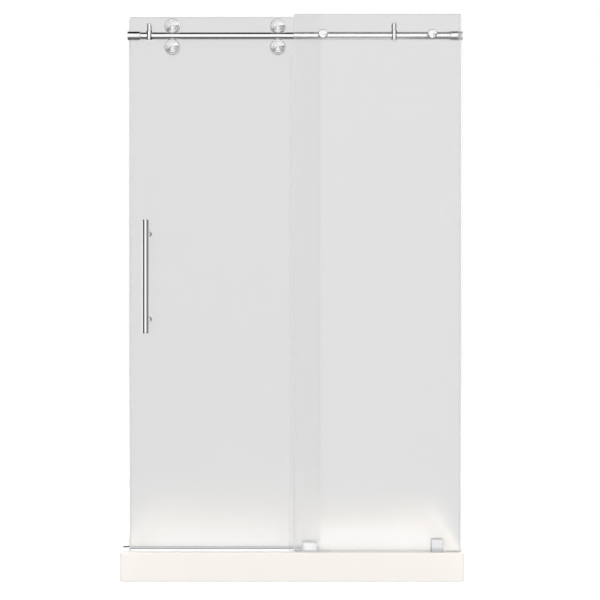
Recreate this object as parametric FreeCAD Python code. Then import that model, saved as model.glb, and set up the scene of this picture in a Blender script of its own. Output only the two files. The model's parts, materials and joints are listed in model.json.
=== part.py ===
import FreeCAD, Part
import math
import os

# Frame: X runs along the wall-to-wall length, Y runs from the room into the shower, Z is up.
# The origin is the middle of the shower base's underside. Lengths are in millimetres.
V = FreeCAD.Vector
X_AXIS = V(1, 0, 0)
Y_AXIS = V(0, 1, 0)
Z_AXIS = V(0, 0, 1)
full_turn = 360.0
hexagon_sides = 6

# Shower base
base_length = 1216.0
base_width = 813.0
base_height = 101.6
base_corner_radius = 12.0
base_edge_radius = 4.0
base_foot_radius = 2.0
front_rim_width = 104.0
side_rim_width = 44.0
back_rim_width = 44.0
basin_depth = 62.0
basin_wall_lean = 10.0
basin_corner_radius = 50.0
basin_rim_radius = 6.0
basin_floor_radius = 14.0
basin_floor_fall = 8.0

# Drain
drain_flange_radius = 57.0
drain_flange_thickness = 3.5
drain_flange_sink = 5.0
drain_neck_radius = 41.5
drain_bore_radius = 30.2
drain_neck_lift = 3.0
drain_seat_radius = 48.0
strainer_thickness = 2.0
strainer_slot_width = 4.5
strainer_slot_inner_radius = 12.0
strainer_slot_outer_radius = 29.0
strainer_slots = 10
strainer_screw_radius = 2.0
strainer_screw_head_radius = 3.8
strainer_screw_length = 12.0
strainer_screw_places = 2

# Glass and where it stands, measured from the front face of the base
glass_thickness = 10.0
glass_arris = 1.0
glass_corner_radius = 3.0
glass_hole_radius = 8.0
fixed_panel_setback = 18.0
fixed_panel_left = 6.0
fixed_panel_width = 590.0
fixed_panel_height = 1895.0
fixed_panel_lift = 4.0
panel_to_door_gap = 42.0
door_left = -582.0
door_width = 681.0
door_height = 1895.5
door_lift = 4.5
setting_block_length = 50.0
setting_block_inset = 52.0

# Guide rail
rail_radius = 12.5
rail_wall = 2.0
rail_height_over_base = 1827.5
rail_left = -583.5
rail_right = 605.5
socket_radius = 15.5
socket_length = 45.0
socket_end_wall = 8.0
socket_mouth_chamfer = 1.5
socket_screw_bore_radius = 3.25

# Fixed panel connectors
connector_left = 109.0
connector_right = 495.0
connector_cap_radius = 16.5
connector_cap_thickness = 8.0
connector_cap_edge = 1.5
connector_stud_radius = 4.0
connector_spacer_radius = 9.0
connector_gasket_radius = 15.0
rail_insert_length = 26.0

# Door stops
stop_left = -507.0
stop_right = 362.5
stop_block_width = 21.0
stop_block_depth = 32.0
stop_block_height = 33.0
stop_block_edge = 0.8
stop_post_radius = 8.25
stop_post_height = 43.0
stop_post_edge = 1.0
stop_bumper_radius = 3.5
stop_bumper_proud = 2.0
stop_bumper_sunk = 3.0

# Rollers and anti-lift wheels
roller_left = -427.0
roller_right = -50.5
wheel_tread_radius = 23.5
wheel_flange_radius = 28.0
wheel_flange_thickness = 5.0
wheel_flange_setback = 10.5
wheel_flange_edge = 0.8
wheel_front_reach = 6.0
wheel_cover_radius = 24.5
wheel_cover_thickness = 2.5
wheel_cover_edge = 0.6
wheel_cap_radius = 15.4
wheel_cap_proud = 1.0
wheel_tyre_bore_radius = 17.5
wheel_groove_reach = 8.5
antilift_gap = 1.0

# Wheel bearing and axle
bearing_outer_radius = 14.0
bearing_width = 8.0
bearing_front_reach = 2.0
bearing_race_wall = 2.2
bearing_ball_radius = 2.4
bearing_balls = 8
axle_radius = 6.0
axle_collar_radius = 11.0
axle_shoulder_radius = 7.8
axle_screw_head_radius = 8.5
axle_screw_head_thickness = 2.5
axle_screw_radius = 3.0
axle_screw_length = 12.0
hub_back_bore_radius = 12.0
back_cap_radius = 14.0
back_cap_thickness = 9.0
back_cap_edge = 2.0

# Handle
handle_x = -516.0
handle_middle_over_base = 972.0
handle_length = 400.0
handle_bar_radius = 12.5
handle_bar_edge = 1.0
handle_standoff = 57.0
handle_post_spacing = 305.0
handle_post_radius = 8.0
handle_rosette_radius = 15.0
handle_rosette_thickness = 5.0
handle_rosette_edge = 1.0
handle_bolt_radius = 4.0
handle_cap_radius = 13.0
handle_cap_thickness = 7.0

# Threshold strip
strip_left = -606.5
strip_right = 32.0
strip_front_inset = 18.0
strip_width = 74.0
strip_thickness = 2.0
strip_upstand_height = 4.0
strip_upstand_width = 8.0
strip_end_radius = 9.0

# Bottom guide for the sliding door
guide_middle = 61.5
guide_length = 51.0
guide_height = 24.0
guide_wall = 11.0
guide_base_thickness = 3.0
guide_foot_reach = 20.0
guide_foot_thickness = 4.0
guide_edge = 2.0
guide_liner_wall = 2.5
guide_liner_floor = 1.0
guide_screw_spacing = 30.0
guide_screw_inset = 9.0

# Glass clamp under the fixed panel
clamp_middle = 511.5
clamp_length = 42.0
clamp_height = 45.0
clamp_plate = 9.0
clamp_base_thickness = 3.0
clamp_edge = 1.2
clamp_pad_thickness = 1.0
clamp_grub_radius = 3.0
clamp_grub_spacing = 22.0
clamp_grub_height = 30.0
clamp_screw_spacing = 24.0

# Clear seals
seal_wall = 1.0
seal_leg = 8.0
edge_seal_fin_reach = 18.0
edge_seal_top_gap = 4.0
wall_seal_bulb_radius = 4.2
wall_seal_bulb_bore_radius = 3.2
door_seal_lip = 0.4

# Small fasteners and rubber
gasket_thickness = 1.0
grub_radius = 2.5
floor_screw_radius = 2.5
floor_screw_head_radius = 4.8
floor_screw_head_depth = 2.4
floor_screw_length = 22.0
hex_socket_share = 0.5
hex_socket_depth = 2.0

# Named clearances
running_gap = 0.05
fit_gap = 0.02
shank_gap = 0.1
roll_gap = 0.3
sliding_gap = 0.5
soft_gap = 0.3
overrun = 5.0

# Places worked out from the sizes above
base_top = base_height
front_y = -base_width / 2
panel_front_y = front_y + fixed_panel_setback
panel_back_y = panel_front_y + glass_thickness
door_front_y = panel_back_y + panel_to_door_gap
door_back_y = door_front_y + glass_thickness
rail_y = panel_back_y + panel_to_door_gap / 2
rail_z = base_top + rail_height_over_base
panel_right = fixed_panel_left + fixed_panel_width
panel_bottom_z = base_top + fixed_panel_lift
panel_top_z = panel_bottom_z + fixed_panel_height
door_right = door_left + door_width
door_bottom_z = base_top + door_lift
door_top_z = door_bottom_z + door_height
wheel_rise = rail_radius + roll_gap + wheel_tread_radius
wheel_drop = rail_radius + antilift_gap + wheel_tread_radius
handle_z = base_top + handle_middle_over_base
handle_y = door_front_y - handle_standoff
basin_middle_y = (front_rim_width - back_rim_width) / 2
basin_floor_z = base_top - basin_depth
drain_floor_z = basin_floor_z - basin_floor_fall
drain_flange_z = drain_floor_z - drain_flange_sink
handle_post_places = [handle_z - handle_post_spacing / 2, handle_z + handle_post_spacing / 2]
connector_places = [connector_left, connector_right]
stop_places = {"left": (stop_left, 1), "right": (stop_right, -1)}
wheel_places = {
    "upper_left": (roller_left, rail_z + wheel_rise),
    "upper_right": (roller_right, rail_z + wheel_rise),
    "lower_left": (roller_left, rail_z - wheel_drop),
    "lower_right": (roller_right, rail_z - wheel_drop),
}


def box(x0, x1, y0, y1, z0, z1):
    return Part.makeBox(x1 - x0, y1 - y0, z1 - z0, V(x0, y0, z0))


def rod_x(x0, x1, y, z, radius):
    return Part.makeCylinder(radius, x1 - x0, V(x0, y, z), X_AXIS)


def rod_y(x, y0, y1, z, radius):
    return Part.makeCylinder(radius, y1 - y0, V(x, y0, z), Y_AXIS)


def rod_z(x, y, z0, z1, radius):
    return Part.makeCylinder(radius, z1 - z0, V(x, y, z0), Z_AXIS)


def ring_y(x, y0, y1, z, outer, inner):
    return rod_y(x, y0, y1, z, outer).cut(rod_y(x, y0 - overrun, y1 + overrun, z, inner))


def disc_y(x, y0, y1, z, radius, edge, front_edge=True, back_edge=False):
    """A disc about Y whose front or back rim is chamfered."""
    front = edge if front_edge else 0
    back = edge if back_edge else 0
    outline = [(0, y0), (radius - front, y0)]
    if front_edge:
        outline.append((radius, y0 + front))
    if back_edge:
        outline.append((radius, y1 - back))
    outline += [(radius - back, y1), (0, y1)]
    return turned_y(x, z, outline)


def turned_y(x, z, outline):
    """A solid turned about Y from (radius, y) points in order."""
    points = [V(x + radius, y, z) for radius, y in outline]
    face = Part.Face(Part.makePolygon(points + points[:1]))
    return face.revolve(V(x, 0, z), Y_AXIS, full_turn)


def rounded_outline(x0, x1, y0, y1, z, radius):
    """A rectangle with round corners as one closed wire at height z."""
    half = radius * math.sqrt(0.5)
    corners = [(x1 - radius, y0 + radius, 1, -1), (x1 - radius, y1 - radius, 1, 1),
               (x0 + radius, y1 - radius, -1, 1), (x0 + radius, y0 + radius, -1, -1)]
    arcs = []
    for cx, cy, sx, sy in corners:
        side = V(cx + sx * radius, cy, z)
        middle = V(cx + sx * half, cy + sy * half, z)
        end = V(cx, cy + sy * radius, z)
        order = (side, middle, end) if sx * sy > 0 else (end, middle, side)
        arcs.append(Part.Arc(*order).toShape())
    edges = []
    for index, arc in enumerate(arcs):
        following = arcs[(index + 1) % len(arcs)]
        edges.append(arc)
        edges.append(Part.makeLine(arc.Vertexes[-1].Point, following.Vertexes[0].Point))
    return Part.Wire(edges)


def rounded_block(x0, x1, y0, y1, z0, z1, radius):
    outline = rounded_outline(x0, x1, y0, y1, z0, radius)
    return Part.Face(outline).extrude(V(0, 0, z1 - z0))


def edges_at_height(solid, z):
    """The edges of a solid that lie wholly at one height."""
    level = 1e-6 * base_length
    return [e for e in solid.Edges if abs(e.BoundBox.ZMin - z) < level and abs(e.BoundBox.ZMax - z) < level]


def edges_at_depth(solid, y):
    """The edges of a solid that lie wholly at one depth."""
    level = 1e-6 * base_length
    return [e for e in solid.Edges if abs(e.BoundBox.YMin - y) < level and abs(e.BoundBox.YMax - y) < level]


def hex_socket(x, y, z, size, depth, direction):
    """The tool that cuts a hexagon key socket into a screw."""
    turns = [math.tau * side / hexagon_sides for side in range(hexagon_sides + 1)]
    flat = Part.makePolygon([V(size * math.cos(turn), size * math.sin(turn), 0) for turn in turns])
    tool = Part.Face(flat).extrude(V(0, 0, depth))
    tool.Placement = FreeCAD.Placement(V(x, y, z), FreeCAD.Rotation(Z_AXIS, direction))
    return tool


def countersunk_screw(x, y, z_top, head_radius, radius, head_depth, length):
    """A vertical countersunk screw with its head flush at z_top."""
    head = Part.makeCone(radius, head_radius, head_depth, V(x, y, z_top - head_depth), Z_AXIS)
    screw = head.fuse(rod_z(x, y, z_top - length, z_top - head_depth, radius))
    key = hex_socket(x, y, z_top, head_radius * hex_socket_share, hex_socket_depth, V(0, 0, -1))
    return screw.removeSplitter().cut(key)


def countersink(x, y, z_top, z_low):
    """The hole that a floor screw passes through, with room for its head."""
    head_radius = floor_screw_head_radius + shank_gap
    hole_radius = floor_screw_radius + shank_gap
    cone = Part.makeCone(hole_radius, head_radius, floor_screw_head_depth,
                         V(x, y, z_top - floor_screw_head_depth), Z_AXIS)
    return cone.fuse(rod_z(x, y, z_low, z_top - floor_screw_head_depth, hole_radius))


def floor_screw(x, y, z_top):
    return countersunk_screw(x, y, z_top, floor_screw_head_radius, floor_screw_radius,
                             floor_screw_head_depth, floor_screw_length)


def guide_screw_places():
    y = guide_front_y() - guide_foot_reach + guide_screw_inset
    return [(guide_middle + side * guide_screw_spacing / 2, y) for side in (-1, 1)]


def clamp_screw_places():
    y = panel_front_y + glass_thickness / 2
    return [(clamp_middle + side * clamp_screw_spacing / 2, y) for side in (-1, 1)]


def guide_front_y():
    """The front of the bottom guide's block, whose slot is centred on the door's glass."""
    slot = glass_thickness + 2 * (sliding_gap + guide_liner_wall + shank_gap)
    return door_front_y + glass_thickness / 2 - slot / 2 - guide_wall


# Shower base and drain
def shower_base():
    half = base_length / 2
    block = rounded_block(-half, half, front_y, -front_y, 0, base_top, base_corner_radius)
    block = block.makeFillet(base_edge_radius, edges_at_height(block, base_top))
    block = block.makeChamfer(base_foot_radius, edges_at_height(block, 0))
    x0 = -half + side_rim_width
    y0 = front_y + front_rim_width
    y1 = -front_y - back_rim_width
    lean = basin_wall_lean
    top = rounded_outline(x0, -x0, y0, y1, base_top, basin_corner_radius)
    floor = rounded_outline(x0 + lean, -x0 - lean, y0 + lean, y1 - lean, basin_floor_z,
                            basin_corner_radius - lean)
    basin = Part.makeLoft([floor, top], True, True)
    basin = basin.makeFillet(basin_floor_radius, edges_at_height(basin, basin_floor_z))
    inset = lean + basin_floor_radius
    slope = floor_slope(x0 + inset, -x0 - inset, y0 + inset, y1 - inset)
    block = block.cut(basin)
    rim = [e for e in edges_at_height(block, base_top) if within_basin(e, x0, y0, y1)]
    block = block.makeFillet(basin_rim_radius, rim)
    block = block.cut(slope)
    recess = rod_z(0, basin_middle_y, drain_flange_z, basin_floor_z, drain_flange_radius + soft_gap)
    bore = rod_z(0, basin_middle_y, -overrun, basin_floor_z, drain_neck_radius + soft_gap)
    block = block.cut(recess).cut(bore)
    for x, y in guide_screw_places() + clamp_screw_places():
        depth = floor_screw_length + shank_gap
        block = block.cut(rod_z(x, y, base_top - depth, base_top + overrun, floor_screw_radius + shank_gap))
    return block


def within_basin(edge, x0, y0, y1):
    """True for the edges of the basin's mouth."""
    middle = edge.BoundBox.Center
    slack = overrun
    return abs(middle.x) <= -x0 + slack and y0 - slack <= middle.y <= y1 + slack


def floor_slope(x0, x1, y0, y1):
    """The shallow pyramid that drops the basin's floor to the drain."""
    low = drain_flange_radius
    outer = Part.makePolygon([V(x0, y0, basin_floor_z), V(x1, y0, basin_floor_z),
                              V(x1, y1, basin_floor_z), V(x0, y1, basin_floor_z), V(x0, y0, basin_floor_z)])
    inner = Part.makePolygon([V(sx * low, basin_middle_y + sy * low, drain_floor_z)
                              for sx, sy in ((-1, -1), (1, -1), (1, 1), (-1, 1), (-1, -1))])
    return Part.makeLoft([inner, outer], True, True)


def drain_screw_places():
    radius = (drain_bore_radius + drain_neck_radius) / 2
    turns = [2 * math.pi * k / strainer_screw_places for k in range(strainer_screw_places)]
    return [(radius * math.cos(t), basin_middle_y + radius * math.sin(t)) for t in turns]


def drain_body():
    top = drain_flange_z + drain_flange_thickness
    body = rod_z(0, basin_middle_y, drain_flange_z, top, drain_flange_radius)
    body = body.makeChamfer(seal_wall, edges_at_height(body, top))
    body = body.fuse(rod_z(0, basin_middle_y, drain_neck_lift, drain_flange_z, drain_neck_radius))
    body = body.removeSplitter()
    seat = rod_z(0, basin_middle_y, top - strainer_thickness, top + overrun, drain_seat_radius)
    body = body.cut(seat)
    body = body.cut(rod_z(0, basin_middle_y, 0, top + overrun, drain_bore_radius))
    for x, y in drain_screw_places():
        depth = strainer_screw_length + shank_gap
        body = body.cut(rod_z(x, y, top - depth, top, strainer_screw_radius + shank_gap))
    return body


def drain_strainer():
    top = drain_flange_z + drain_flange_thickness
    low = top - strainer_thickness
    plate = rod_z(0, basin_middle_y, low, top, drain_seat_radius - soft_gap)
    for index in range(strainer_slots):
        y0 = basin_middle_y - strainer_slot_width / 2
        slot = box(strainer_slot_inner_radius, strainer_slot_outer_radius, y0, y0 + strainer_slot_width,
                   low - overrun, top + overrun)
        slot.rotate(V(0, basin_middle_y, 0), Z_AXIS, full_turn * index / strainer_slots)
        plate = plate.cut(slot)
    for x, y in drain_screw_places():
        plate = plate.cut(strainer_screw_hole(x, y, top))
    return plate


def strainer_screw_hole(x, y, top):
    depth = strainer_screw_head_radius - strainer_screw_radius
    gap = shank_gap
    cone = Part.makeCone(strainer_screw_radius + gap, strainer_screw_head_radius + gap, depth,
                         V(x, y, top - depth), Z_AXIS)
    return cone.fuse(rod_z(x, y, top - depth - overrun, top - depth, strainer_screw_radius + gap))


def drain_screws():
    top = drain_flange_z + drain_flange_thickness
    depth = strainer_screw_head_radius - strainer_screw_radius
    screws = []
    for x, y in drain_screw_places():
        seat = V(x, y, top - depth)
        head = Part.makeCone(strainer_screw_radius, strainer_screw_head_radius, depth, seat, Z_AXIS)
        shank = rod_z(x, y, top - strainer_screw_length, top - depth, strainer_screw_radius)
        screws.append(head.fuse(shank).removeSplitter())
    return Part.makeCompound(screws)


# Glass panels
def glass_sheet(x0, x1, y0, z0, z1):
    """A toughened sheet with rounded corners and ground edges."""
    sheet = box(x0, x1, y0, y0 + glass_thickness, z0, z1)
    uprights = [e for e in sheet.Edges if abs(e.BoundBox.YLength - glass_thickness) < fit_gap]
    sheet = sheet.makeFillet(glass_corner_radius, uprights)
    faces = edges_at_depth(sheet, y0) + edges_at_depth(sheet, y0 + glass_thickness)
    return sheet.makeChamfer(glass_arris, faces)


def glass_hole(x, y0, z):
    return rod_y(x, y0 - overrun, y0 + glass_thickness + overrun, z, glass_hole_radius)


def fixed_panel():
    sheet = glass_sheet(fixed_panel_left, panel_right, panel_front_y, panel_bottom_z, panel_top_z)
    for x in connector_places:
        sheet = sheet.cut(glass_hole(x, panel_front_y, rail_z))
    return sheet


def door_panel():
    sheet = glass_sheet(door_left, door_right, door_front_y, door_bottom_z, door_top_z)
    for x, z in wheel_places.values():
        sheet = sheet.cut(glass_hole(x, door_front_y, z))
    for z in handle_post_places:
        sheet = sheet.cut(glass_hole(handle_x, door_front_y, z))
    return sheet


def setting_blocks():
    blocks = []
    for middle in (fixed_panel_left + 2 * setting_block_inset, panel_right - setting_block_inset / 2):
        x0 = middle - setting_block_length / 2
        blocks.append(box(x0, x0 + setting_block_length, panel_front_y + glass_arris,
                          panel_back_y - glass_arris, base_top, panel_bottom_z))
    return Part.makeCompound(blocks)


# Clear seals
def panel_edge_seal():
    """A channel on the fixed panel's free edge with a slanted fin that reaches to the door's glass."""
    z0 = base_top + door_lift
    z1 = rail_z - wheel_drop - wheel_flange_radius - edge_seal_top_gap
    edge = fixed_panel_left
    outer_left = edge - seal_wall - fit_gap
    front = panel_front_y - fit_gap
    back = panel_back_y + fit_gap
    channel = box(outer_left, edge + seal_leg, front - seal_wall, back + seal_wall, z0, z1)
    room = box(edge - fit_gap, edge + seal_leg + overrun, front, back, z0 - overrun, z1 + overrun)
    channel = channel.cut(room)
    tip_x = edge - edge_seal_fin_reach
    tip_y = door_front_y - sliding_gap
    root_y = back + seal_wall
    fin = Part.makePolygon([V(outer_left, root_y, z0), V(outer_left + seal_wall, root_y, z0),
                            V(tip_x + seal_wall, tip_y, z0), V(tip_x, tip_y, z0), V(outer_left, root_y, z0)])
    fin = Part.Face(fin).extrude(V(0, 0, z1 - z0))
    return channel.fuse(fin).removeSplitter()


def panel_wall_seal():
    """A channel on the fixed panel's wall edge with a hollow bulb that presses on the wall."""
    z0 = base_top + soft_gap
    z1 = panel_top_z - glass_corner_radius
    edge = panel_right
    wall = edge + fit_gap + seal_wall
    front = panel_front_y - fit_gap
    back = panel_back_y + fit_gap
    channel = box(edge - seal_leg, wall, front - seal_wall, back + seal_wall, z0, z1)
    room = box(edge - seal_leg - overrun, edge + fit_gap, front, back, z0 - overrun, z1 + overrun)
    channel = channel.cut(room)
    middle_y = panel_front_y + glass_thickness / 2
    reach = wall + wall_seal_bulb_radius - seal_wall
    bulb = rod_z(reach, middle_y, z0, z1, wall_seal_bulb_radius)
    bore = rod_z(reach, middle_y, z0 - overrun, z1 + overrun, wall_seal_bulb_bore_radius)
    return channel.fuse(bulb).cut(bore).removeSplitter()


def door_wall_seal():
    """A thin clear channel on the door's leading edge that closes on the wall."""
    z0 = door_bottom_z + glass_corner_radius
    z1 = door_top_z - glass_corner_radius
    front = door_front_y - fit_gap
    back = door_back_y + fit_gap
    channel = box(door_left - seal_wall - door_seal_lip, door_left + seal_leg, front - seal_wall,
                  back + seal_wall, z0, z1)
    return channel.cut(box(door_left - fit_gap, door_left + seal_leg + overrun, front, back,
                           z0 - overrun, z1 + overrun))


# Rail, sockets and stops
def guide_rail():
    x0 = rail_left + socket_end_wall
    x1 = rail_right - socket_end_wall
    tube = rod_x(x0, x1, rail_y, rail_z, rail_radius)
    tube = tube.cut(rod_x(x0 - overrun, x1 + overrun, rail_y, rail_z, rail_radius - rail_wall))
    hole_radius = connector_stud_radius + shank_gap
    for x in connector_places:
        tube = tube.cut(rod_y(x, rail_y - rail_radius - overrun, rail_y, rail_z, hole_radius))
    return tube


def rail_inserts():
    """Threaded plugs inside the rail that the connector studs screw into."""
    plugs = []
    half = rail_insert_length / 2
    hole_radius = connector_stud_radius + shank_gap
    for x in connector_places:
        plug = rod_x(x - half, x + half, rail_y, rail_z, rail_radius - rail_wall - fit_gap)
        hole = rod_y(x, rail_y - rail_radius, rail_y + rail_radius / 2, rail_z, hole_radius)
        plugs.append(plug.cut(hole))
    return Part.makeCompound(plugs)


def rail_socket(wall_x, inward):
    """A cup against the wall that holds one end of the rail."""
    mouth = wall_x + inward * socket_length
    seat = wall_x + inward * socket_end_wall
    x0, x1 = sorted((wall_x, mouth))
    cup = rod_x(x0, x1, rail_y, rail_z, socket_radius)
    mouth_rim = [e for e in cup.Edges
                 if abs(e.BoundBox.XMin - mouth) < fit_gap and e.BoundBox.XLength < fit_gap]
    cup = cup.makeChamfer(socket_mouth_chamfer, mouth_rim)
    b0, b1 = sorted((seat, mouth + inward * overrun))
    cup = cup.cut(rod_x(b0, b1, rail_y, rail_z, rail_radius + fit_gap))
    s0, s1 = sorted((wall_x - inward * overrun, seat + inward * overrun))
    cup = cup.cut(rod_x(s0, s1, rail_y, rail_z, socket_screw_bore_radius))
    x = socket_grub_x(wall_x, inward)
    return cup.cut(rod_z(x, rail_y, rail_z - socket_radius - overrun, rail_z, grub_radius + shank_gap))


def socket_grub_x(wall_x, inward):
    return wall_x + inward * (socket_end_wall + socket_length) / 2


def grub_screw(x, z_low, radius, length):
    """A short set screw that stands upright below what it holds, its key socket at the bottom."""
    screw = rod_z(x, rail_y, z_low, z_low + length, radius)
    return screw.cut(hex_socket(x, rail_y, z_low, radius * hex_socket_share, hex_socket_depth, Z_AXIS))


def socket_grub_screws():
    length = socket_radius - rail_radius - fit_gap
    z_low = rail_z - socket_radius
    places = [socket_grub_x(rail_left, 1), socket_grub_x(rail_right, -1)]
    return Part.makeCompound([grub_screw(x, z_low, grub_radius, length) for x in places])


def door_stop(x, facing):
    """A block on the rail, round at its front and back, with an upright post that the rollers run up to."""
    half = stop_block_width / 2
    straight = stop_block_depth / 2 - half
    z0 = rail_z - stop_block_height / 2
    z1 = rail_z + stop_block_height / 2
    block = box(x - half, x + half, rail_y - straight, rail_y + straight, z0, z1)
    for y in (rail_y - straight, rail_y + straight):
        block = block.fuse(rod_z(x, y, z0, z1, half))
    block = block.removeSplitter()
    block = block.makeChamfer(stop_block_edge, edges_at_height(block, z0) + edges_at_height(block, z1))
    post = rod_z(x, rail_y, rail_z, rail_z + stop_post_height, stop_post_radius)
    post = post.makeChamfer(stop_post_edge, edges_at_height(post, rail_z + stop_post_height))
    stop = block.fuse(post).removeSplitter()
    stop = stop.cut(rod_x(x - half - overrun, x + half + overrun, rail_y, rail_z, rail_radius + fit_gap))
    stop = stop.cut(rod_z(x, rail_y, z0 - overrun, rail_z, grub_radius + shank_gap))
    face = x + facing * stop_post_radius
    b0, b1 = sorted((face - facing * stop_bumper_sunk, face + facing * overrun))
    return stop.cut(rod_x(b0, b1, rail_y, rail_z + wheel_rise, stop_bumper_radius + fit_gap))


def stop_bumpers():
    bumpers = []
    for x, facing in stop_places.values():
        face = x + facing * stop_post_radius
        b0, b1 = sorted((face - facing * stop_bumper_sunk, face + facing * stop_bumper_proud))
        bumpers.append(rod_x(b0, b1, rail_y, rail_z + wheel_rise, stop_bumper_radius))
    return Part.makeCompound(bumpers)


def stop_grub_screws():
    length = stop_block_height / 2 - rail_radius - fit_gap
    z_low = rail_z - stop_block_height / 2
    places = [x for x, facing in stop_places.values()]
    return Part.makeCompound([grub_screw(x, z_low, grub_radius, length) for x in places])


# Connectors between the fixed panel and the rail
def connector_caps():
    """Round caps in front of the glass, each with the stud that runs through to the rail."""
    caps = []
    back = panel_front_y - gasket_thickness
    front = back - connector_cap_thickness
    for x in connector_places:
        cap = disc_y(x, front, back, rail_z, connector_cap_radius, connector_cap_edge)
        stud = rod_y(x, back, rail_y + rail_radius / 2 - soft_gap, rail_z, connector_stud_radius)
        caps.append(cap.fuse(stud).removeSplitter())
    return Part.makeCompound(caps)


def connector_gaskets():
    gaskets = []
    hole = connector_stud_radius + shank_gap
    for x in connector_places:
        gaskets.append(ring_y(x, panel_front_y - gasket_thickness, panel_front_y, rail_z,
                              connector_gasket_radius, hole))
        gaskets.append(ring_y(x, panel_back_y, panel_back_y + gasket_thickness, rail_z,
                              connector_spacer_radius, hole))
    return Part.makeCompound(gaskets)


def connector_sleeves():
    hole = connector_stud_radius + shank_gap
    outer = glass_hole_radius - shank_gap
    return Part.makeCompound([ring_y(x, panel_front_y, panel_back_y, rail_z, outer, hole)
                              for x in connector_places])


def connector_spacers():
    """Round spacers whose back ends are hollowed to sit on the rail."""
    spacers = []
    rail_clear = rail_radius + fit_gap
    for x in connector_places:
        front = panel_back_y + gasket_thickness
        spacer = ring_y(x, front, rail_y, rail_z, connector_spacer_radius, connector_stud_radius + shank_gap)
        reach = 2 * connector_spacer_radius
        spacers.append(spacer.cut(rod_x(x - reach, x + reach, rail_y, rail_z, rail_clear)))
    return Part.makeCompound(spacers)


# Wheels
def groove_radius(offset):
    """The tyre's radius at a distance along Y from the rail's axis."""
    groove = rail_radius + roll_gap
    return wheel_rise - math.sqrt(groove ** 2 - offset ** 2)


def wheel_tyre(x, z):
    """A nylon tyre whose tread is hollowed to the rail."""
    front = -wheel_front_reach
    back = wheel_flange_setback
    rise = groove_radius(wheel_groove_reach)
    start = V(x + groove_radius(front), rail_y + front, z)
    bottom = V(x + groove_radius(0), rail_y, z)
    end = V(x + rise, rail_y + wheel_groove_reach, z)
    corner = V(x + rise, rail_y + back, z)
    inner_back = V(x + wheel_tyre_bore_radius, rail_y + back, z)
    inner_front = V(x + wheel_tyre_bore_radius, rail_y + front, z)
    tread = Part.Arc(start, bottom, end).toShape()
    rest = Part.makePolygon([end, corner, inner_back, inner_front, start])
    face = Part.Face(Part.Wire([tread] + rest.Edges))
    return face.revolve(V(x, 0, z), Y_AXIS, full_turn)


def wheel_hub(x, z):
    """A steel hub with the flange that runs behind the rail and the seat of the bearing."""
    front = rail_y - wheel_front_reach
    flange_front = rail_y + wheel_flange_setback
    flange_back = flange_front + wheel_flange_thickness
    bearing_front = rail_y - bearing_front_reach
    bearing_back = bearing_front + bearing_width
    rim = wheel_flange_radius
    edge = wheel_flange_edge
    outline = [(bearing_outer_radius + fit_gap, front), (wheel_tyre_bore_radius - fit_gap, front),
               (wheel_tyre_bore_radius - fit_gap, flange_front), (rim - edge, flange_front),
               (rim, flange_front + edge), (rim, flange_back - edge), (rim - edge, flange_back),
               (hub_back_bore_radius, flange_back), (hub_back_bore_radius, bearing_back + fit_gap),
               (bearing_outer_radius + fit_gap, bearing_back + fit_gap)]
    return turned_y(x, z, outline)


def wheel_cover(x, z):
    """The turned steel face of the wheel with its raised centre cap."""
    back = rail_y - wheel_front_reach
    front = back - wheel_cover_thickness
    recess_front = back - wheel_cover_thickness / 2
    recess_radius = axle_screw_head_radius + sliding_gap
    edge = wheel_cover_edge
    cap_front = front - wheel_cap_proud
    outline = [(0, cap_front), (wheel_cap_radius - edge, cap_front), (wheel_cap_radius, cap_front + edge),
               (wheel_cap_radius, front), (wheel_cover_radius - edge, front),
               (wheel_cover_radius, front + edge), (wheel_cover_radius, back), (recess_radius, back),
               (recess_radius, recess_front), (0, recess_front)]
    return turned_y(x, z, outline)


def bearing_pitch_radius():
    inner_outer = axle_radius + running_gap + bearing_race_wall
    outer_inner = bearing_outer_radius - bearing_race_wall
    return (inner_outer + outer_inner) / 2


def bearing_groove(x, z):
    """The ring that both races are hollowed by, a running clearance wider than the balls."""
    middle = V(x, rail_y - bearing_front_reach + bearing_width / 2, z)
    return Part.makeTorus(bearing_pitch_radius(), bearing_ball_radius + running_gap, middle, Y_AXIS)


def bearing_outer_race(x, z):
    front = rail_y - bearing_front_reach
    inner = bearing_outer_radius - bearing_race_wall
    race = ring_y(x, front, front + bearing_width, z, bearing_outer_radius, inner)
    return race.cut(bearing_groove(x, z))


def bearing_inner_races():
    races = []
    front = rail_y - bearing_front_reach
    inner = axle_radius + fit_gap
    outer = axle_radius + running_gap + bearing_race_wall
    for x, z in wheel_places.values():
        races.append(ring_y(x, front, front + bearing_width, z, outer, inner).cut(bearing_groove(x, z)))
    return Part.makeCompound(races)


def bearing_ball_sets():
    balls = []
    middle_y = rail_y - bearing_front_reach + bearing_width / 2
    for x, z in wheel_places.values():
        for index in range(bearing_balls):
            turn = 2 * math.pi * index / bearing_balls
            reach = bearing_pitch_radius()
            place = V(x + reach * math.cos(turn), middle_y, z + reach * math.sin(turn))
            balls.append(Part.makeSphere(bearing_ball_radius, place))
    return Part.makeCompound(balls)


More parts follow.
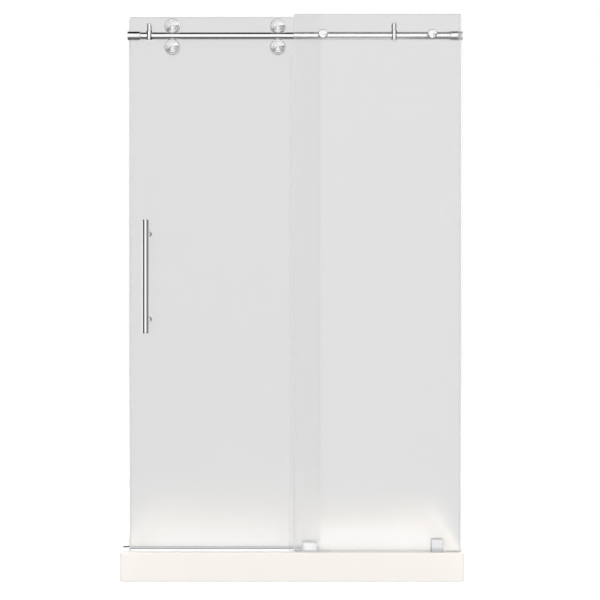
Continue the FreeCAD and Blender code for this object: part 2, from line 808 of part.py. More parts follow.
def wheel_axles():
    """Stepped axles that carry the wheels in front of the glass and run through it to the back caps."""
    axles = []
    bearing_front = rail_y - bearing_front_reach
    bearing_back = bearing_front + bearing_width
    collar_front = rail_y + wheel_flange_setback + wheel_flange_thickness + sliding_gap
    collar_back = door_front_y - gasket_thickness
    end = door_back_y + gasket_thickness + back_cap_thickness / 2
    for x, z in wheel_places.values():
        outline = [(0, bearing_front), (axle_radius, bearing_front), (axle_radius, bearing_back),
                   (axle_shoulder_radius, bearing_back), (axle_shoulder_radius, collar_front),
                   (axle_collar_radius, collar_front), (axle_collar_radius, collar_back),
                   (axle_radius, collar_back), (axle_radius, end), (0, end)]
        axle = turned_y(x, z, outline)
        depth = axle_screw_length + shank_gap
        tapping = rod_y(x, bearing_front, bearing_front + depth, z, axle_screw_radius + shank_gap)
        axles.append(axle.cut(tapping))
    return Part.makeCompound(axles)


def axle_screws():
    """The screws whose heads hold the bearings on their axles."""
    screws = []
    seat = rail_y - bearing_front_reach
    front = seat - axle_screw_head_thickness
    for x, z in wheel_places.values():
        outline = [(0, front), (axle_screw_head_radius, front), (axle_screw_head_radius, seat),
                   (axle_screw_radius, seat), (axle_screw_radius, seat + axle_screw_length),
                   (0, seat + axle_screw_length)]
        key = hex_socket(x, front, z, axle_screw_radius, axle_screw_head_thickness / 2, Y_AXIS)
        screws.append(turned_y(x, z, outline).cut(key))
    return Part.makeCompound(screws)


def through_glass_set(places, collar_radius, cap_radius, bolt_radius):
    """The gaskets on both faces of the door's glass and the sleeve in the hole, at each place."""
    pieces = []
    bore = bolt_radius + shank_gap
    for x, z in places:
        front = ring_y(x, door_front_y - gasket_thickness, door_front_y, z, collar_radius, bore)
        back = ring_y(x, door_back_y, door_back_y + gasket_thickness, z, cap_radius, bore)
        sleeve = ring_y(x, door_front_y, door_back_y, z, glass_hole_radius - shank_gap, bore)
        pieces.append(front.fuse(sleeve).removeSplitter())
        pieces.append(back)
    return Part.makeCompound(pieces)


def roller_gaskets():
    return through_glass_set(list(wheel_places.values()), axle_collar_radius, back_cap_radius, axle_radius)


def domed_cap(x, z, radius, thickness, bolt_radius, reach):
    """A round nut with a bevelled rim that screws on behind the glass."""
    front = door_back_y + gasket_thickness
    cap = disc_y(x, front, front + thickness, z, radius, back_cap_edge, front_edge=False, back_edge=True)
    return cap.cut(rod_y(x, front - overrun, front + reach + soft_gap, z, bolt_radius + shank_gap))


def roller_back_caps():
    reach = back_cap_thickness / 2
    return Part.makeCompound([domed_cap(x, z, back_cap_radius, back_cap_thickness, axle_radius, reach)
                              for x, z in wheel_places.values()])


# Handle
def handle_bar():
    z0 = handle_z - handle_length / 2
    z1 = handle_z + handle_length / 2
    bar = rod_z(handle_x, handle_y, z0, z1, handle_bar_radius)
    bar = bar.makeChamfer(handle_bar_edge, edges_at_height(bar, z0) + edges_at_height(bar, z1))
    for z in handle_post_places:
        back = handle_y + handle_bar_radius
        bar = bar.cut(rod_y(handle_x, handle_y, back, z, handle_bolt_radius + shank_gap))
    return bar


def handle_posts():
    """Posts between the bar and the rosettes, hollowed at the front to sit on the bar."""
    posts = []
    back = door_front_y - gasket_thickness - handle_rosette_thickness
    saddle = rod_z(handle_x, handle_y, handle_z - handle_length, handle_z + handle_length,
                   handle_bar_radius + fit_gap)
    for z in handle_post_places:
        post = ring_y(handle_x, handle_y, back, z, handle_post_radius, handle_bolt_radius + shank_gap)
        posts.append(post.cut(saddle))
    return Part.makeCompound(posts)


def handle_rosettes():
    back = door_front_y - gasket_thickness
    front = back - handle_rosette_thickness
    rosettes = []
    for z in handle_post_places:
        disc = disc_y(handle_x, front, back, z, handle_rosette_radius, handle_rosette_edge)
        hole = rod_y(handle_x, front - overrun, back + overrun, z, handle_bolt_radius + shank_gap)
        rosettes.append(disc.cut(hole))
    return Part.makeCompound(rosettes)


def handle_gaskets():
    places = [(handle_x, z) for z in handle_post_places]
    return through_glass_set(places, handle_rosette_radius, handle_cap_radius, handle_bolt_radius)


def handle_bolts():
    """Bolts from the back caps through the glass and the posts into the bar."""
    front = handle_y + soft_gap
    end = door_back_y + gasket_thickness + handle_cap_thickness / 2
    return Part.makeCompound([rod_y(handle_x, front, end, z, handle_bolt_radius) for z in handle_post_places])


def handle_back_caps():
    reach = handle_cap_thickness / 2
    return Part.makeCompound([domed_cap(handle_x, z, handle_cap_radius, handle_cap_thickness,
                                        handle_bolt_radius, reach) for z in handle_post_places])


# Fittings on the base
def threshold_strip():
    """A polished strip under the door, notched round the fixed panel, with a sloped upstand behind the door."""
    y0 = front_y + strip_front_inset
    y1 = y0 + strip_width
    top = base_top + strip_thickness
    crest = base_top + strip_upstand_height
    slope = strip_upstand_height - strip_thickness
    section = [(y0, base_top), (y1, base_top), (y1, crest), (y1 - strip_upstand_width + slope, crest),
               (y1 - strip_upstand_width, top), (y0, top)]
    points = [V(strip_left, y, z) for y, z in section]
    plate = Part.Face(Part.makePolygon(points + points[:1])).extrude(V(strip_right - strip_left, 0, 0))
    butt = fixed_panel_left - seal_wall - sliding_gap
    notch = box(butt, strip_right + overrun, y0 - overrun, panel_back_y + seal_wall + sliding_gap,
                base_top - overrun, crest + overrun)
    end = rounded_block(strip_left, strip_right, y0 - 2 * strip_end_radius, y1, base_top - overrun,
                        crest + overrun, strip_end_radius)
    left_part = box(strip_left, butt, y0, y1, base_top - overrun, crest + overrun)
    return plate.cut(notch).common(end.fuse(left_part))


def guide_block():
    """A block on the base behind the fixed panel, slotted for the door's glass."""
    x0 = guide_middle - guide_length / 2
    x1 = guide_middle + guide_length / 2
    y0 = guide_front_y()
    y1 = 2 * door_front_y + glass_thickness - y0
    block = rounded_block(x0, x1, y0, y1, base_top, base_top + guide_height, guide_edge)
    block = block.makeChamfer(guide_edge / 2, edges_at_height(block, base_top + guide_height))
    slot = box(x0 - overrun, x1 + overrun, y0 + guide_wall, y1 - guide_wall, base_top + guide_base_thickness,
               base_top + guide_height + overrun)
    foot = rounded_block(x0, x1, y0 - guide_foot_reach, y0 + guide_edge * 2, base_top,
                         base_top + guide_foot_thickness, guide_edge)
    block = block.cut(slot).fuse(foot).removeSplitter()
    for x, y in guide_screw_places():
        block = block.cut(countersink(x, y, base_top + guide_foot_thickness, base_top - overrun))
    return block


def guide_liner():
    """A nylon channel in the guide's slot with running clearance to the glass."""
    x0 = guide_middle - guide_length / 2
    x1 = guide_middle + guide_length / 2
    y0 = guide_front_y() + guide_wall + shank_gap
    y1 = 2 * door_front_y + glass_thickness - y0
    z0 = base_top + guide_base_thickness
    channel = box(x0, x1, y0, y1, z0, base_top + guide_height)
    room = box(x0 - overrun, x1 + overrun, y0 + guide_liner_wall, y1 - guide_liner_wall,
               z0 + guide_liner_floor, base_top + guide_height + overrun)
    return channel.cut(room)


def guide_screws():
    seat = base_top + guide_foot_thickness
    return Part.makeCompound([floor_screw(x, y, seat) for x, y in guide_screw_places()])


def clamp_body():
    """A square clamp that grips the fixed panel's lower edge and stands on the base."""
    x0 = clamp_middle - clamp_length / 2
    x1 = clamp_middle + clamp_length / 2
    y0 = panel_front_y - clamp_pad_thickness - clamp_plate
    y1 = panel_back_y + clamp_pad_thickness + clamp_plate
    block = box(x0, x1, y0, y1, base_top, base_top + clamp_height)
    rims = edges_at_height(block, base_top + clamp_height) + [e for e in edges_at_depth(block, y0)
                                                              if e.BoundBox.ZLength > clamp_height / 2]
    block = block.makeFillet(clamp_edge, rims)
    room = box(x0 - overrun, x1 + overrun, y0 + clamp_plate, y1 - clamp_plate,
               base_top + clamp_base_thickness, base_top + clamp_height + overrun)
    block = block.cut(room)
    for x, y in clamp_screw_places():
        block = block.cut(countersink(x, y, base_top + clamp_base_thickness, base_top - overrun))
    for x in clamp_grub_places():
        block = block.cut(rod_y(x, y1 - clamp_plate - overrun, y1 + overrun, clamp_grub_z(),
                                clamp_grub_radius + shank_gap))
    return block


def clamp_grub_places():
    return [clamp_middle + side * clamp_grub_spacing / 2 for side in (-1, 1)]


def clamp_grub_z():
    return base_top + clamp_grub_height


def clamp_pad():
    """A soft liner between the clamp and the glass."""
    x0 = clamp_middle - clamp_length / 2
    x1 = clamp_middle + clamp_length / 2
    z0 = base_top + clamp_base_thickness
    top = base_top + clamp_height - clamp_edge
    pad = box(x0, x1, panel_front_y - clamp_pad_thickness, panel_back_y + clamp_pad_thickness, z0, top)
    room = box(x0 - overrun, x1 + overrun, panel_front_y, panel_back_y, panel_bottom_z, top + overrun)
    return pad.cut(room)


def clamp_grub_screws():
    seat = panel_back_y + clamp_pad_thickness
    end = seat + clamp_plate
    screws = []
    for x in clamp_grub_places():
        screw = rod_y(x, seat, end, clamp_grub_z(), clamp_grub_radius)
        key = hex_socket(x, end, clamp_grub_z(), clamp_grub_radius * hex_socket_share, hex_socket_depth,
                         V(0, -1, 0))
        screws.append(screw.cut(key))
    return Part.makeCompound(screws)


def clamp_floor_screws():
    seat = base_top + clamp_base_thickness
    return Part.makeCompound([floor_screw(x, y, seat) for x, y in clamp_screw_places()])


# Nodes
def all_nodes():
    nodes = {
        "shower_base": shower_base(),
        "drain_body": drain_body(),
        "drain_strainer": drain_strainer(),
        "drain_screws": drain_screws(),
        "threshold_strip": threshold_strip(),
        "fixed_panel": fixed_panel(),
        "setting_blocks": setting_blocks(),
        "panel_edge_seal": panel_edge_seal(),
        "panel_wall_seal": panel_wall_seal(),
        "clamp_body": clamp_body(),
        "clamp_pad": clamp_pad(),
        "clamp_grub_screws": clamp_grub_screws(),
        "clamp_floor_screws": clamp_floor_screws(),
        "guide_rail": guide_rail(),
        "rail_inserts": rail_inserts(),
        "rail_socket_left": rail_socket(rail_left, 1),
        "rail_socket_right": rail_socket(rail_right, -1),
        "socket_grub_screws": socket_grub_screws(),
        "stop_bumpers": stop_bumpers(),
        "stop_grub_screws": stop_grub_screws(),
        "connector_caps": connector_caps(),
        "connector_gaskets": connector_gaskets(),
        "connector_sleeves": connector_sleeves(),
        "connector_spacers": connector_spacers(),
        "bottom_guide": guide_block(),
        "bottom_guide_liner": guide_liner(),
        "bottom_guide_screws": guide_screws(),
        "door_panel": door_panel(),
        "door_wall_seal": door_wall_seal(),
        "wheel_axles": wheel_axles(),
        "axle_screws": axle_screws(),
        "roller_gaskets": roller_gaskets(),
        "roller_back_caps": roller_back_caps(),
        "bearing_inner_races": bearing_inner_races(),
        "bearing_balls": bearing_ball_sets(),
        "handle_bar": handle_bar(),
        "handle_posts": handle_posts(),
        "handle_rosettes": handle_rosettes(),
        "handle_gaskets": handle_gaskets(),
        "handle_bolts": handle_bolts(),
        "handle_back_caps": handle_back_caps(),
    }
    for side, (x, facing) in stop_places.items():
        nodes["door_stop_" + side] = door_stop(x, facing)
    for place, (x, z) in wheel_places.items():
        nodes["wheel_tyre_" + place] = wheel_tyre(x, z)
        nodes["wheel_hub_" + place] = wheel_hub(x, z)
        nodes["wheel_cover_" + place] = wheel_cover(x, z)
        nodes["bearing_outer_race_" + place] = bearing_outer_race(x, z)
    return nodes


def main():
    os.makedirs("parts", exist_ok=True)
    for name, shape in all_nodes().items():
        shape.exportStep("parts/" + name + ".step")
        size = shape.optimalBoundingBox(False)
        print(name, len(shape.Solids), shape.isValid(), round(shape.Volume),
              [round(v, 2) for v in (size.XMin, size.XMax, size.YMin, size.YMax, size.ZMin, size.ZMax)])


main()
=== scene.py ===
import bmesh
import bpy
import json
import math
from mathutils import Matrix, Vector


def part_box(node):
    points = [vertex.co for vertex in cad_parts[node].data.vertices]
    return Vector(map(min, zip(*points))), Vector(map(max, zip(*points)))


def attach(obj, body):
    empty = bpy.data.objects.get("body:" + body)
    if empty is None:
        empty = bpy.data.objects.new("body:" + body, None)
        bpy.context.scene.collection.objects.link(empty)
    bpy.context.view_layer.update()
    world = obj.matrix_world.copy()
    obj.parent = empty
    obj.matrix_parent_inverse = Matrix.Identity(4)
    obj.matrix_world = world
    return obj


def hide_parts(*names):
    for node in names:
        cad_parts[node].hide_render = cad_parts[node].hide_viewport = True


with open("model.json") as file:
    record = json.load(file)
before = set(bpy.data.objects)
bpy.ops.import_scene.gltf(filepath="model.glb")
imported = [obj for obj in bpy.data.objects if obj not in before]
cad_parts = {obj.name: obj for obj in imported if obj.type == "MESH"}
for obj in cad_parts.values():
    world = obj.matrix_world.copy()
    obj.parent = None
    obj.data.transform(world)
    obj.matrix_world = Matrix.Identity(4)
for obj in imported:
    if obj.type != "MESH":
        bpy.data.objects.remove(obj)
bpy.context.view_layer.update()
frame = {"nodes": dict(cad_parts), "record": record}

# Lengths are in metres, in the model's frame: X to the right, Y into the shower, Z up.
mm = 0.001
base_low, base_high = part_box("shower_base")
base_front = base_low.y

# Camera, level, in front of the base
camera_distance = 4.0
camera_height = 1.0575
camera_sensor = 36.0
camera_lens = 68.286
camera_shift_x = 0.0133
camera_shift_y = -0.0317
camera_reach = 100.0

# Large square lamps
lamps = {
    "front_lamp": {"place": (0.6, -6.0, 2.6), "aim": (0.0, -0.4, 0.9), "size": 4.0, "power": 86.0},
    "top_lamp": {"place": (0.0, 0.7, 4.4), "aim": (0.0, 0.1, 0.0), "size": 2.6, "power": 129.0},
    "near_lamp": {"place": (0.0, -1.9, 4.2), "aim": (0.0, -0.4, 0.1), "size": 2.2, "power": 42.0},
}

# Floor
floor_size = 14.0
floor_drop = 0.2 * mm
floor_tone = 0.8
floor_lift = 0.55

# How bright the surroundings are on plain surfaces, in metal and through the frosted glass, and how much
# brighter they are in metal behind the glass
ambient_level = 0.67
panel_level = 1.07
behind_glass_level = 0.755
glass_gain = 1.26

# What metal sees: a tall soft panel in front, wide at the top and narrow at the foot, dark beyond and pale at
# the back. Each row is (place, brightness). Along it the place is a turn: 0 and 1 are straight behind the
# part, 0.25 is to its left, 0.5 in front of it and 0.75 to its right.
level_row = [(0.0, 0.9), (0.10, 0.95), (0.235, 0.95), (0.26, 0.01), (0.372, 0.01), (0.40, 0.6), (0.46, 0.85),
             (0.48, 1.0), (0.545, 1.0), (0.568, 0.42), (0.66, 0.36), (0.68, 0.07), (0.735, 0.08), (0.76, 0.9),
             (1.0, 0.9)]
under_row = [(0.0, 0.8), (0.10, 0.8), (0.25, 0.01), (0.42, 0.01), (0.45, 0.35), (0.468, 1.0), (0.534, 1.0),
             (0.56, 0.10), (0.65, 0.04), (0.75, 0.01), (0.90, 0.8), (1.0, 0.8)]
over_row = [(0.0, 1.0), (0.05, 1.0), (0.08, 0.03), (0.365, 0.01), (0.392, 0.72), (0.46, 1.0), (0.542, 1.0),
            (0.555, 0.02), (0.68, 0.0), (0.92, 0.03), (0.95, 1.0)]
wide_row = [(0.0, 1.0), (0.05, 1.0), (0.08, 0.01), (0.362, 0.0), (0.376, 0.9), (0.47, 1.0), (0.64, 1.0),
            (0.665, 0.0), (0.92, 0.01), (0.95, 1.0)]
high_row = [(0.0, 1.0), (0.30, 0.6), (0.40, 0.8), (0.47, 0.95), (0.5, 1.0), (0.66, 1.0), (0.75, 0.6),
            (1.0, 1.0)]

# The rise is 0 straight down, 0.5 level and 1 straight up. Each row takes over from the level one, or from
# the row before it, from the first rise to the second.
row_changes = [(0.483, 0.466, under_row), (0.515, 0.53, over_row), (0.5655, 0.568, wide_row),
               (0.60, 0.63, high_row)]

# Brightness by the rise, in front and at the back
upright_row = [(0.0, 0.10), (0.242, 0.11), (0.267, 0.62), (0.33, 0.75), (0.40, 0.80), (0.425, 0.97),
               (0.44, 1.0), (0.61, 1.0), (0.64, 0.97), (0.782, 0.93), (0.798, 0.0), (1.0, 0.0)]
behind_upright_row = [(0.0, 0.12), (0.30, 0.2), (0.40, 0.6), (0.45, 1.0), (0.59, 1.0), (0.62, 0.05),
                      (1.0, 0.01)]

# Where a change starts and ends: by the turn, to what is at the back on either side, and by the rise, to one
# brightness all round
behind_turns = (0.27, 0.25), (0.80, 0.82)
steep_rises = (0.80, 0.86), (0.24, 0.10)

# Tones: one, or two that a pattern goes between
cream_tones = (0.925, 0.884, 0.836), (0.94, 0.902, 0.858)
cream_speck = (0.87, 0.83, 0.78)
basin_tone = (0.915, 0.905, 0.891)
glass_tone = (0.995, 0.997, 0.997)
glass_edge_tone = (0.89, 0.94, 0.925)
chrome_tones = (0.93, 0.93, 0.945), (0.95, 0.95, 0.96)
turned_tones = (0.92, 0.915, 0.92), (0.97, 0.965, 0.965)
clamp_tones = (0.80, 0.80, 0.805), (0.86, 0.86, 0.865)
# The clamp's foot tone is a painted shade: a darker colour that stands in for the dark floor reflected in the
# steel
clamp_painted_shade_tone = (0.56, 0.56, 0.575)
satin_tone = (0.85, 0.845, 0.85)
fastener_tone = (0.70, 0.70, 0.70)
bearing_tone = (0.74, 0.74, 0.75)
nylon_tones = (0.80, 0.79, 0.75), (0.87, 0.86, 0.83)
vinyl_tone = (0.93, 0.95, 0.95)
rubber_tone = (0.80, 0.81, 0.81)

# Where a finish changes: into the basin by height and by distance from the base's sides, into a pane's
# polished edge by distance from it, and over the clamp's foot, where a painted shade darkens the steel
basin_heights = (47 * mm, 41 * mm)
basin_insets = (20 * mm, 30 * mm)
glass_edge_insets = (1.2 * mm, 0.9 * mm)
clamp_foot_height = 24 * mm

# Roughness: one, or the least and the most that a pattern goes between, and what patches or the clamp's
# painted-shade foot add to it
cream_roughness = (0.27, 0.37)
basin_roughness = 0.5
panel_frost = (0.26, 0.30)
door_frost = (0.37, 0.41)
glass_edge_roughness = 0.12
chrome_roughness = (0.03, 0.085)
turned_roughness = (0.13, 0.18)
clamp_roughness = (0.11, 0.20)
nylon_roughness = (0.38, 0.5)
brushed_spread = 0.12
haze_spread = 0.1
patch_roughness = 0.04
foot_roughness = 0.08

# Depth of fine relief
peel_relief = 0.04 * mm
basin_relief = 0.55 * mm
etch_relief = 0.012 * mm
wiping_relief = 0.002 * mm
turned_relief = 0.006 * mm
brushed_relief = 0.004 * mm
nylon_relief = 0.02 * mm
extrusion_relief = 0.01 * mm

# How close lines lie: brushed ones across and along, turned ones, and extrusion lines on X, Y and Z
fine_lines = 1900.0
long_lines = 40.0
turned_lines = 2600.0
extrusion_lines = (900.0, 900.0, 6.0)

# Patterns: where specks begin and are full, how strong they are, and the darker tone of lines and clouds
speck_levels = (0.62, 0.8)
speck_strength = 0.25
line_shade = 0.93
cloud_shade = 0.97

# Turned shapes: points closer than same_place are one, and a radius under on_axis lies on the axis
around_tube = 128
around_face = 144
arc_steps = 4
sharp_angle = math.radians(28)
same_place = 1e-6
on_axis = 1e-7

# Fine turning marks: the width of one, of the steep side between two, and how far each face leans
groove_pitch = 1.1 * mm
groove_flank = 0.04 * mm
wheel_middle_lean = math.radians(13.5)
wheel_plate_lean = math.radians(16)
connector_lean = math.radians(8)

# Rail and handle
rail_wall = 2 * mm
rail_round = 0.4 * mm
handle_round = 1.2 * mm
handle_ring = 2.0 * mm

# Wheel plates: a dimple in a raised middle, where its turning marks begin, a seam round it, the plate, its
# sloped rim and a hollow at the back
dimple_radius = 3.0 * mm
dimple_floor = 2.6 * mm
dimple_depth = 0.35 * mm
marks_radius = 3.4 * mm
middle_radius = 15.4 * mm
middle_lip = 0.6 * mm
plate_depth = 1.0 * mm
seam_width = 1.0 * mm
seam_depth = 0.25 * mm
rim_lip = 1.6 * mm
rim_slope = 1.3 * mm
rim_drop = 1.5 * mm
hollow_radius = 9.0 * mm
hollow_depth = 1.2 * mm

# Connector caps: their smooth centre, the small lip and the slope of their rim, and the stud behind
connector_centre = 1.0 * mm
connector_rim = 2.2 * mm
connector_lip = 0.6 * mm
connector_lip_drop = 0.2 * mm
connector_drop = 1.9 * mm
connector_depth = 8.0 * mm
stud_radius = 4.0 * mm


def new_object(name, data):
    """A new object, put in the scene."""
    made = bpy.data.objects.new(name, data)
    bpy.context.scene.collection.objects.link(made)
    return made


# Camera and lamps
def make_camera():
    data = bpy.data.cameras.new("camera")
    data.sensor_width = camera_sensor
    data.lens = camera_lens
    data.shift_x = camera_shift_x
    data.shift_y = camera_shift_y
    data.clip_end = camera_reach
    camera = new_object("camera", data)
    camera.location = (0.0, base_front - camera_distance, camera_height)
    camera.rotation_euler = (math.radians(90), 0.0, 0.0)
    bpy.context.scene.camera = camera


def soft_lamp(name, place, aim, size, power):
    """A large square lamp that lights surfaces but doesn't show in metal or glass."""
    data = bpy.data.lights.new(name, "AREA")
    data.size = size
    data.energy = power
    lamp = new_object(name, data)
    lamp.location = place
    lamp.rotation_euler = (Vector(aim) - Vector(place)).to_track_quat("-Z", "Y").to_euler()
    lamp.visible_glossy = False
    lamp.visible_transmission = False
    lamp.visible_camera = False


# Node helpers
def feed(tree, target, value):
    """Link a socket to another socket, or set its constant."""
    if isinstance(value, bpy.types.NodeSocket):
        tree.links.new(value, target)
    else:
        target.default_value = value


def add(tree, kind, inputs=(), **settings):
    """A new node with its settings and inputs."""
    made = tree.nodes.new(kind)
    for name, value in settings.items():
        setattr(made, name, value)
    for key, value in dict(inputs).items():
        feed(tree, made.inputs[key], value)
    return made


def calc(tree, operation, *values):
    """The result of a math operation on numbers."""
    made = add(tree, "ShaderNodeMath", operation=operation)
    for place, value in enumerate(values):
        feed(tree, made.inputs[place], value)
    return made.outputs[0]


def vector_calc(tree, operation, *values, out="Vector"):
    """The result of a math operation on vectors."""
    made = add(tree, "ShaderNodeVectorMath", operation=operation)
    for place, value in enumerate(values):
        feed(tree, made.inputs[place], value)
    return made.outputs[out]


def axes(tree, vector):
    """The X, Y and Z of a vector."""
    parts = add(tree, "ShaderNodeSeparateXYZ", {"Vector": vector})
    return [parts.outputs[axis] for axis in "XYZ"]


def fade(tree, value, start, end):
    """A smooth step of a value: 0 at start and 1 at end, which may be the lower one."""
    made = add(tree, "ShaderNodeMapRange", {"Value": value, "From Min": start, "From Max": end},
               interpolation_type="SMOOTHSTEP")
    return made.outputs["Result"]


def fade_either(tree, value, first, second):
    """The greater of two smooth steps of a value, each given by its start and end."""
    return calc(tree, "MAXIMUM", fade(tree, value, *first), fade(tree, value, *second))


def steps(tree, value, stops):
    """A grey value read from a ramp of (place, grey) stops."""
    made = add(tree, "ShaderNodeValToRGB", {"Fac": value})
    ramp = made.color_ramp
    while len(ramp.elements) < len(stops):
        ramp.elements.new(1.0)
    for element, (place, grey) in zip(ramp.elements, stops):
        element.position = place
        element.color = (grey, grey, grey, 1.0)
    return made.outputs["Color"]


def blend_value(tree, share, first, second):
    """The first value where share is 0, the second where it is 1."""
    made = add(tree, "ShaderNodeMix", data_type="FLOAT")
    feed(tree, made.inputs["Factor"], share)
    feed(tree, made.inputs["A"], first)
    feed(tree, made.inputs["B"], second)
    return made.outputs["Result"]


def blend_colour(tree, share, first, second):
    """The first colour where share is 0, the second where it is 1."""
    made = add(tree, "ShaderNodeMix", data_type="RGBA")
    feed(tree, made.inputs["Factor"], share)
    for key, colour in (("A", first), ("B", second)):
        socket = [s for s in made.inputs if s.name == key and s.type == "RGBA"][0]
        feed(tree, socket, colour if isinstance(colour, bpy.types.NodeSocket) else (*colour, 1.0))
    return [s for s in made.outputs if s.type == "RGBA"][0]


def grain(tree, place, scale, detail=2.0, roughness=0.5, stretch=None):
    """Noise from 0 to 1 on object coordinates, stretched where stretch gives three factors."""
    if stretch:
        place = vector_calc(tree, "MULTIPLY", place, stretch)
    made = add(tree, "ShaderNodeTexNoise", {"Vector": place, "Scale": scale, "Detail": detail,
                                            "Roughness": roughness})
    return made.outputs["Fac"]


def to_edge(tree, value, low, high):
    """How far a coordinate is inside the nearer of two limits."""
    return calc(tree, "MINIMUM", calc(tree, "SUBTRACT", value, low), calc(tree, "SUBTRACT", high, value))


def relief(tree, height, depth, strength=1.0, under=None):
    """A relief of a height from 0 to 1 that stands for depth; under is another relief it lies on."""
    made = add(tree, "ShaderNodeBump", {"Height": height, "Distance": depth, "Strength": strength})
    if under is not None:
        feed(tree, made.inputs["Normal"], under)
    return made.outputs["Normal"]


def new_material(name):
    """A material with its tree, its object coordinates and its Principled shader."""
    material = bpy.data.materials.new(name)
    material.use_nodes = True
    tree = material.node_tree
    shader = tree.nodes["Principled BSDF"]
    place = add(tree, "ShaderNodeTexCoord").outputs["Object"]
    return material, tree, place, shader


def set_shader(tree, shader, **values):
    """Feed the shader's inputs, each named with _ for a space."""
    for name, value in values.items():
        socket = shader.inputs[name.replace("_", " ")]
        if isinstance(value, tuple) and len(value) == 3 and socket.type == "RGBA":
            value = (*value, 1.0)
        feed(tree, socket, value)


# Surroundings
def studio_pattern(tree, direction):
    """The brightness of the surroundings in a direction, as metal shows them."""
    x, y, z = axes(tree, direction)
    rise = calc(tree, "ADD", calc(tree, "DIVIDE", calc(tree, "ARCSINE", z), math.pi), 0.5)
    angle = calc(tree, "ARCTAN2", x, calc(tree, "MULTIPLY", y, -1.0))
    turn = calc(tree, "ADD", calc(tree, "DIVIDE", angle, math.tau), 0.5)
    sideways = steps(tree, turn, level_row)
    for start, end, row in row_changes:
        sideways = blend_value(tree, fade(tree, rise, start, end), sideways, steps(tree, turn, row))
    sideways = blend_value(tree, fade_either(tree, rise, *steep_rises), sideways, 1.0)
    behind = fade_either(tree, turn, *behind_turns)
    vertical = blend_value(tree, behind, steps(tree, rise, upright_row),
                           steps(tree, rise, behind_upright_row))
    return calc(tree, "MULTIPLY", calc(tree, "MULTIPLY", sideways, vertical), panel_level)


def make_world():
    """White to the camera, the studio pattern in metal, and even levels on the rest and through glass."""
    world = bpy.data.worlds.new("studio")
    world.use_nodes = True
    tree = world.node_tree
    background = tree.nodes["Background"]
    background.inputs["Color"].default_value = (1.0, 1.0, 1.0, 1.0)
    direction = add(tree, "ShaderNodeTexCoord").outputs["Generated"]
    path = add(tree, "ShaderNodeLightPath")
    reflected = calc(tree, "GREATER_THAN", path.outputs["Glossy Depth"], 0.5)
    through = calc(tree, "MULTIPLY", path.outputs["Is Transmission Ray"],
                   calc(tree, "SUBTRACT", 1.0, reflected))
    gain = blend_value(tree, path.outputs["Is Transmission Ray"], 1.0, glass_gain)
    studio = calc(tree, "MULTIPLY", studio_pattern(tree, direction), gain)
    level = blend_value(tree, path.outputs["Is Glossy Ray"], ambient_level, studio)
    level = blend_value(tree, through, level, behind_glass_level)
    level = blend_value(tree, path.outputs["Is Camera Ray"], level, 1.0)
    feed(tree, background.inputs["Strength"], level)
    bpy.context.scene.world = world


def make_floor():
    """A white floor just under the base, which also glows a little, for the camera alone."""
    mesh = bpy.data.meshes.new("floor")
    half = floor_size / 2
    mesh.from_pydata([(-half, -half, -floor_drop), (half, -half, -floor_drop), (half, half, -floor_drop),
                      (-half, half, -floor_drop)], [], [(0, 1, 2, 3)])
    floor = new_object("floor", mesh)
    material = bpy.data.materials.new("white_floor")
    material.use_nodes = True
    tree = material.node_tree
    tree.nodes.remove(tree.nodes["Principled BSDF"])
    matt = add(tree, "ShaderNodeBsdfDiffuse", {"Color": (floor_tone, floor_tone, floor_tone, 1.0)})
    path = add(tree, "ShaderNodeLightPath")
    glow = add(tree, "ShaderNodeEmission",
               {"Strength": calc(tree, "MULTIPLY", path.outputs["Is Camera Ray"], floor_lift)})
    both = add(tree, "ShaderNodeAddShader", {0: matt.outputs[0], 1: glow.outputs[0]})
    feed(tree, tree.nodes["Material Output"].inputs["Surface"], both.outputs[0])
    mesh.materials.append(material)
    floor.visible_glossy = False
    floor.visible_transmission = False


# Finishes
def cream_casting():
    """Cast cream composite with a satin gel coat and a slip-resistant grain on the basin's floor."""
    material, tree, place, shader = new_material("cream_casting")
    x, y, height = axes(tree, place)
    inset = calc(tree, "MINIMUM", to_edge(tree, x, base_low.x, base_high.x),
                 to_edge(tree, y, base_low.y, base_high.y))
    cloud = grain(tree, place, scale=3.0, detail=3.0, roughness=0.55)
    speckle = grain(tree, place, scale=900.0, detail=1.0)
    colour = blend_colour(tree, cloud, *cream_tones)
    specks = calc(tree, "MULTIPLY", fade(tree, speckle, *speck_levels), speck_strength)
    colour = blend_colour(tree, specks, colour, cream_speck)
    rough = blend_value(tree, grain(tree, place, scale=14.0, detail=3.0), *cream_roughness)
    basin = calc(tree, "MULTIPLY", fade(tree, height, *basin_heights), fade(tree, inset, *basin_insets))
    colour = blend_colour(tree, basin, colour, basin_tone)
    gritty = grain(tree, place, scale=420.0, roughness=0.6)
    peel = grain(tree, place, scale=95.0, roughness=0.4)
    normal = relief(tree, peel, peel_relief)
    normal = relief(tree, calc(tree, "MULTIPLY", basin, gritty), basin_relief, under=normal)
    set_shader(tree, shader, Base_Color=colour, Roughness=blend_value(tree, basin, rough, basin_roughness),
               Normal=normal, Coat_Weight=0.15, Coat_Roughness=0.18)
    return material


def frosted_glass(name, node, frost):
    """Acid-etched glass whose upright and top edges are polished and slightly green.

    Its lower edge is etched like its faces."""
    material, tree, place, shader = new_material(name)
    low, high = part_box(node)
    x, _, z = axes(tree, place)
    inset = calc(tree, "MINIMUM", to_edge(tree, x, low.x, high.x), calc(tree, "SUBTRACT", high.z, z))
    edge = fade(tree, inset, *glass_edge_insets)
    cloud = grain(tree, place, scale=2.2, detail=3.0)
    etch = grain(tree, place, scale=1300.0, roughness=0.7)
    rough = blend_value(tree, edge, blend_value(tree, cloud, *frost), glass_edge_roughness)
    colour = blend_colour(tree, edge, glass_tone, glass_edge_tone)
    normal = relief(tree, etch, etch_relief, strength=0.6)
    set_shader(tree, shader, Base_Color=colour, Roughness=rough, Normal=normal,
               Transmission_Weight=blend_value(tree, edge, 1.0, 0.4), IOR=1.45)
    return material


